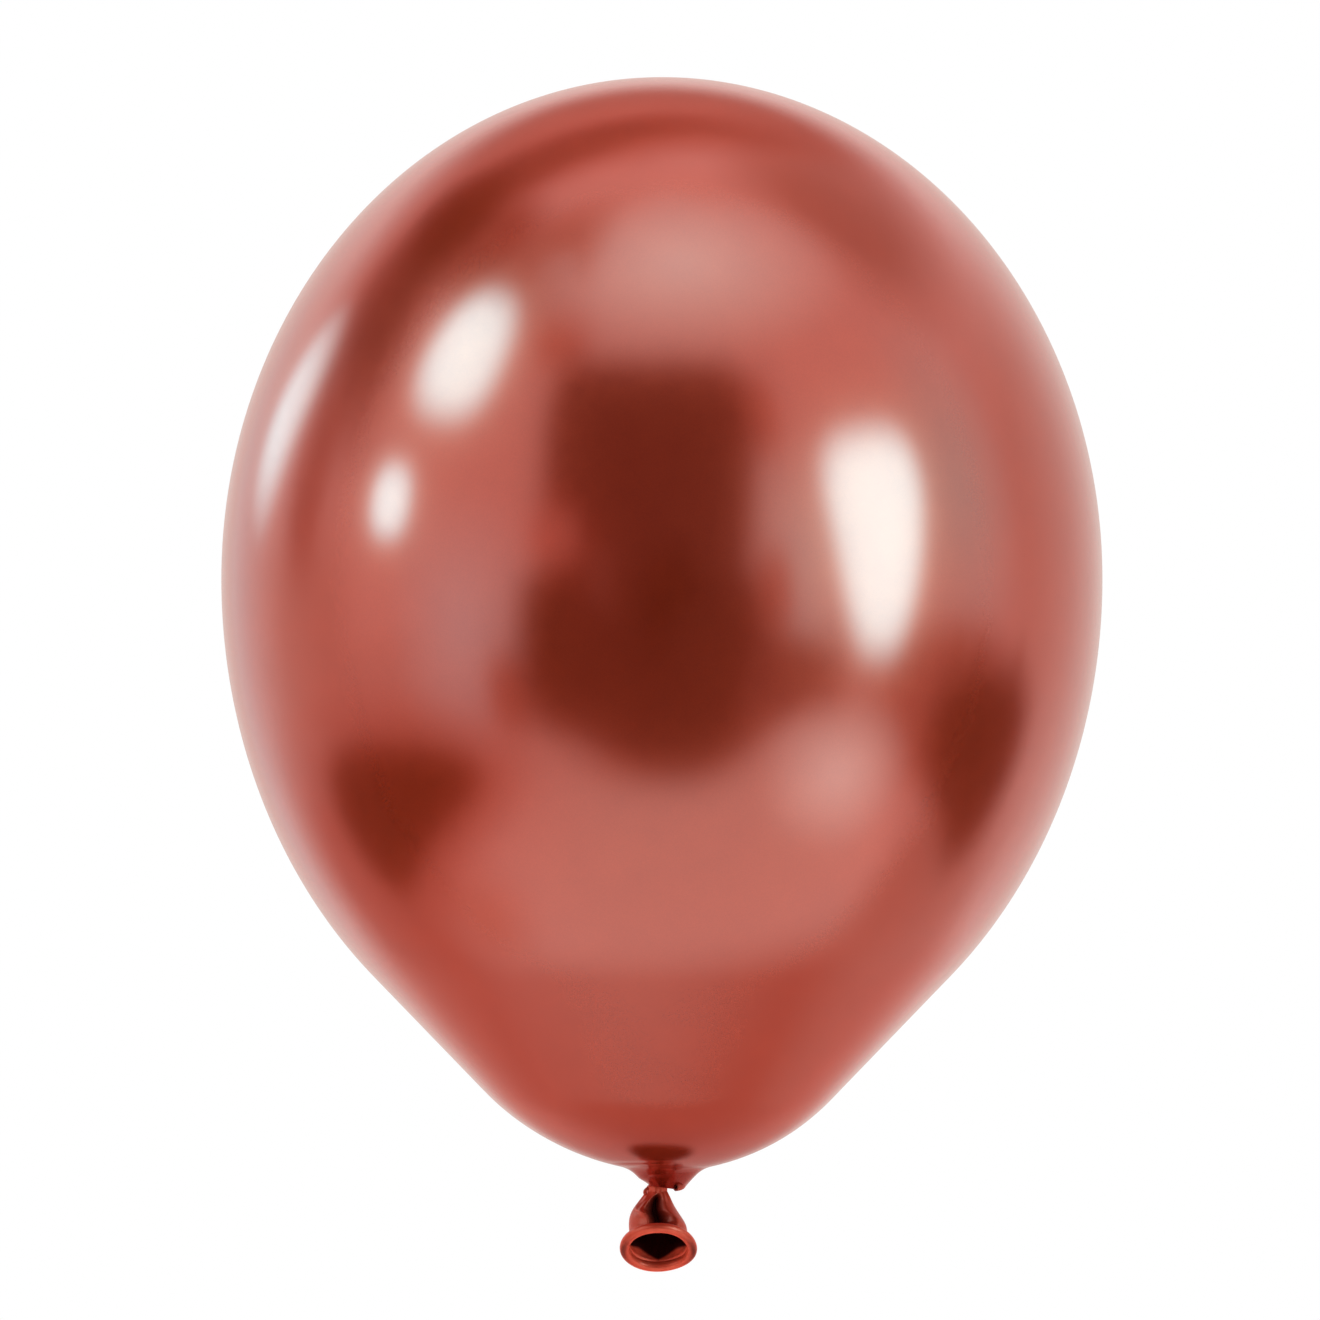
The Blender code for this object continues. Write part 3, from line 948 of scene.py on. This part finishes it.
def flat_card(name, radiance, tint, middle, edge, core):
    """A level oval card. Its edge and its full core each reach so far to both sides, behind and ahead."""
    rings = []
    for share in FLAT_SHARES:
        wide, behind, ahead = Vector(edge).lerp(Vector(core), share)
        ring = []
        for turn in card_turns():
            deep = behind if math.sin(turn) > 0 else ahead
            ring.append(middle + Vector((wide * math.cos(turn), deep * math.sin(turn), 0)))
        rings.append(ring)
    return soft_card(name, radiance, tint, rings, middle)


def ribbon(name, radiance, bends, start_width, end_width, layer=1, tint=PLAIN_WHITE):
    """A band along a Bezier curve of azimuths and elevations, soft to both sides and at its ends."""
    path = bezier(*bends, RIBBON_STEPS)
    points = []
    core = []
    for step, place in enumerate(path):
        share = step / RIBBON_STEPS
        shrink = math.cos(math.radians(place.y))
        along = path[min(step + 1, RIBBON_STEPS)] - path[max(step - 1, 0)]
        across = Vector((-along.y, along.x * shrink)).normalized()
        half = (start_width + (end_width - start_width) * share) / 2
        for side in RIBBON_SIDES:
            offset = side * half * across
            points.append(studio_point(place.x + offset.x / shrink, place.y + offset.y, layer))
        middle = smooth(0.0, RIBBON_FADE, share) * smooth(1.0, 1 - RIBBON_FADE, share)
        core += [0.0, middle, middle, 0.0]
    count = len(RIBBON_SIDES)
    faces = []
    for step in range(RIBBON_STEPS):
        for row in range(count - 1):
            corner = count * step + row
            faces.append((corner, corner + 1, corner + count + 1, corner + count))
    add_card(name, radiance, tint, points, faces, core)


def make_lamps():
    panel("lamp_right", 10.2, (55, 7.2), (28, 43), soft=0.3, square=3, taper=0.35, layer=0, tint=LAMP_WHITE)
    panel("lamp_upper_left", 9.6, (-63, 39.5), (32, 29), layer=0, tint=LAMP_WHITE)
    panel("lamp_left", 10.8, (-72, 12.6), (14, 14), layer=0, tint=LAMP_WHITE)
    panel("lamp_left_strip", 3.7, (-122, 18), (19, 30), soft=0.6, lean=25, layer=0, tint=ICE_WHITE)
    panel("glow_overhead", 3.1, (10, 66), (160, 46), soft=0.95, layer=2, tint=ICE_WHITE)
    panel("glow_low_right", 3.4, (51, -32), (46, 28), soft=0.95, layer=1.4, tint=ICE_WHITE)
    panel("glow_left", 1.9, (-50, -7), (44, 48), soft=0.95, layer=2, tint=COOL_WHITE)
    panel("glow_right", 2.1, (34, 3), (28, 52), soft=0.95, layer=2, tint=ICE_WHITE)
    panel("glow_far_right", 1.5, (81, 14), (40, 60), soft=0.95, layer=3, tint=ICE_WHITE)


def make_flags():
    panel("flag_front_upper", 0.12, (-3.5, 20), (60, 50), soft=0.2, square=6, taper=0.1, tint=WARM_GREY)
    panel("flag_front_lower", 0.07, (-5, -12), (68, 36), soft=0.2, square=4, tint=WARM_GREY)
    panel("flag_chin", 0.07, (3, -23), (52, 28), soft=0.3, square=2.2, tint=WARM_GREY)
    panel("flag_middle", 0.0, (2, -4), (18, 26), soft=0.6, layer=0)
    panel("flag_front_left", 0.0, (-27, -9), (13, 24), soft=0.6, layer=0)
    panel("flag_spur", 0.25, (29, -17), (20, 40), soft=0.4, lean=-105, taper=0.5, tint=WARM_GREY)
    panel("flag_notch", 0.9, (-26, 8), (18, 15), soft=0.7, layer=0, tint=WARM_GREY)
    panel("flag_gap", 0.3, (-15, 0), (10, 26), soft=0.8, layer=0, tint=WARM_GREY)
    panel("flag_right_edge", 0.72, (27, -3), (14, 24), soft=0.6, layer=1.7, tint=WARM_GREY)
    panel("flag_right_corner", 0.72, (27, 31), (14, 22), soft=0.6, layer=1.7, tint=WARM_GREY)
    panel("flag_left_edge", 0.5, (-39, -19), (17, 19), soft=0.6, layer=1.7, tint=WARM_GREY)
    panel("flag_top_edge", 0.7, (-33, 47), (26, 20), soft=0.6, layer=1.7, tint=WARM_GREY)
    panel("flag_chin_edge", 0.5, (0, -26), (62, 28), soft=0.5, square=2.2, layer=1.7, tint=WARM_GREY)
    panel("flag_low_left", 0.0, (-82, -31.5), (20, 66), soft=0.25, square=3, lean=-90, taper=0.5, layer=0)
    panel("flag_spur_edge", 0.45, (40, -19), (24, 14), soft=0.6, layer=1.5, tint=WARM_GREY)
    panel("flag_low_left_edge", 0.62, (-75, -32), (36, 82), soft=0.5, lean=-90, taper=0.4, layer=1.5,
          tint=WARM_GREY)
    panel("flag_low_right", 0.0, (94, -22), (27, 48), soft=0.35, square=3, lean=95, taper=0.3, layer=0)
    panel("flag_low_right_edge", 0.5, (80, -18), (60, 30), soft=0.4, layer=1.5, tint=WARM_GREY)
    for number, azimuth in enumerate((79, 87, 103)):
        panel(f"flag_streak_{number}", 0.1, (azimuth, -10), (3, 11), soft=0.6, lean=10, layer=0,
              tint=WARM_GREY)
    panel("flag_high_left", 0.0, (-116, 52), (50, 22), soft=0.5, layer=0)
    panel("grey_high_left", 0.35, (-90, 57), (50, 28), soft=0.5, tint=WARM_GREY)
    panel("grey_high_right", 0.45, (112, 57), (80, 50), soft=0.6, layer=3, tint=PALE_WARM)
    panel("grey_upper_left", 0.6, (-58, 62), (60, 42), soft=0.6, layer=1.5, tint=PALE_WARM)
    panel("grey_left_gap", 0.45, (-103, 14), (18, 34), soft=0.5, layer=0.5, tint=WARM_GREY)
    ribbon("flag_upper_left", 0.16, ((-95, 6), (-97, 59), (-139, 83), (-225, 55)), 38, 12, tint=WARM_GREY)
    ribbon("flag_upper_left_edge", 0.6, ((-100, 6), (-104, 59), (-143, 82), (-225, 54)), 52, 32, layer=1.7,
           tint=WARM_GREY)
    panel("grey_lower_left", 0.75, (-84, -54), (60, 26), soft=0.8, layer=1.7, tint=PALE_WARM)
    panel("grey_back", 0.36, (180, 55), (150, 50), soft=0.5, layer=4, tint=WARM_GREY)
    panel("grey_left", 0.7, (-102, -6), (48, 44), soft=0.6, layer=4, tint=PALE_WARM)
    panel("grey_left_rim", 0.78, (-140, -5), (44, 60), soft=0.6, layer=5)
    panel("grey_right", 0.72, (118, 8), (64, 80), soft=0.6, layer=4, tint=PALE_WARM)
    panel("grey_low_left", 0.50, (-114, -38), (66, 54), soft=0.5, layer=4, tint=WARM_GREY)
    panel("grey_low_right", 0.56, (108, -40), (64, 50), soft=0.5, layer=5, tint=PALE_WARM)
    panel("grey_low_behind", 0.62, (180, -44), (100, 46), soft=0.5, layer=5, tint=WARM_GREY)
    panel("grey_behind", 0.78, (180, 0), (150, 100), soft=0.5, layer=6, tint=PALE_WARM)


def make_mats():
    """Level cards under the balloon, which its lower half reflects."""
    # painted reflection: a small black card in front of the neck, seen only in the film's shine, darkening
    # the body's underside as the shaded tail's reflection would
    flat_card("neck_painted_reflection", 0.0, PLAIN_WHITE, MM * Vector((-0.6, -21.0, 4.3)), (0.0140, 0.0085, 0.0085),
              (0.0090, 0.0052, 0.0052))
    mats = (
        ("mat_far", 0.55, WARM_GREY, (0, 0), (1.9, 3.4, 0.2), (1.2, 2.0, 0.05)),
        ("mat_front", 1.3, PALE_COOL, (0.2, 0), (1.7, 0.6, 3.4), (0.5, 0.3, 2.0)),
        ("mat_near", 0.46, WARM_GREY, (0.12, 0.32), (0.95, 0.75, 0.66), (0.55, 0.48, 0.26)),
    )
    for number, (name, radiance, tint, place, edge, core) in enumerate(mats, 1):
        flat_card(name, radiance, tint, Vector((*place, FLOOR_HEIGHT + LAYER_STEP * number)), edge, core)


def make_fill():
    """Soft light from the sides and from above, which the film's shine doesn't show."""
    fills = (
        panel("fill_left", SIDE_FILL, (-118, -38), (90, 76), layer=7),
        panel("fill_right", SIDE_FILL, (118, -38), (90, 76), layer=7),
        panel("fill_above", TOP_FILL, (180, 58), (170, 56), layer=7),
    )
    for fill in fills:
        fill.visible_diffuse = True
        fill.visible_glossy = False


def make_floor():
    """A pale floor that has no underside, so that the balloon can be looked at from below."""
    mesh = bpy.data.meshes.new("floor")
    half = FLOOR_SIDE / 2
    corners = [(-half, -half), (half, -half), (half, half), (-half, half)]
    mesh.from_pydata([(x, y, FLOOR_HEIGHT) for x, y in corners], [], [(0, 1, 2, 3)])
    made = Nodes(bpy.data.materials.new("floor_paint"))
    speckle = made.spread(made.noise(scale=14.0, detail=3.0), low=0.86, high=0.90)
    made.set(Base_Color=made.grey(speckle), Roughness=0.9, Emission_Color=PLAIN_WHITE)
    made.set(Emission_Strength=made.spread(seen_directly(made), 0.0, FLOOR_LIFT, 0.0, 1.0))
    underside = made.add("ShaderNodeNewGeometry").outputs["Backfacing"]
    clear = made.add("ShaderNodeBsdfTransparent").outputs[0]
    made.fade(underside, made.shader.outputs[0], clear)
    mesh.materials.append(made.owner)
    floor = add_object("floor", mesh)


def seen_directly(made):
    """1 for what the camera, a mirror or glass shows, else 0."""
    rays = made.add("ShaderNodeLightPath").outputs
    seen = rays["Is Camera Ray"]
    for kind in ("Is Glossy Ray", "Is Transmission Ray"):
        seen = made.add("ShaderNodeMath", {0: seen, 1: rays[kind]}, operation="MAXIMUM").outputs[0]
    return seen


def make_world():
    world = bpy.data.worlds.new("white_room")
    made = Nodes(world, "Background")
    made.set(Color=PLAIN_WHITE, Strength=made.spread(seen_directly(made), ROOM_LIGHT, 1.0, 0.0, 1.0))
    bpy.context.scene.world = world


def make_camera():
    data = bpy.data.cameras.new("camera")
    data.lens = data.sensor_width * CAMERA_DISTANCE / FRAME_WIDTH
    camera = add_object("camera", data)
    camera.location = FRAME_CENTRE - Vector((0, CAMERA_DISTANCE, 0))
    camera.rotation_euler = (math.pi / 2, 0, 0)
    bpy.context.scene.camera = camera


MATERIALS = {
    "body": body_latex(),
    "tail": tail_latex("tail_latex", "painted_shade"),
    # the film's inner side, painted darker with depth into the mouth as painted shade
    "inside": tail_latex("tail_inside_painted_shade", "depth"),
}
make_envelope()
make_gathered_neck()
make_neck_curl()
make_knot()
make_tail()
make_ear()
make_mouth()
make_lamps()
make_flags()
make_mats()
make_fill()
make_floor()
make_world()
make_camera()
bpy.context.scene.view_settings.view_transform = "Standard"

bpy.context.view_layer.update()
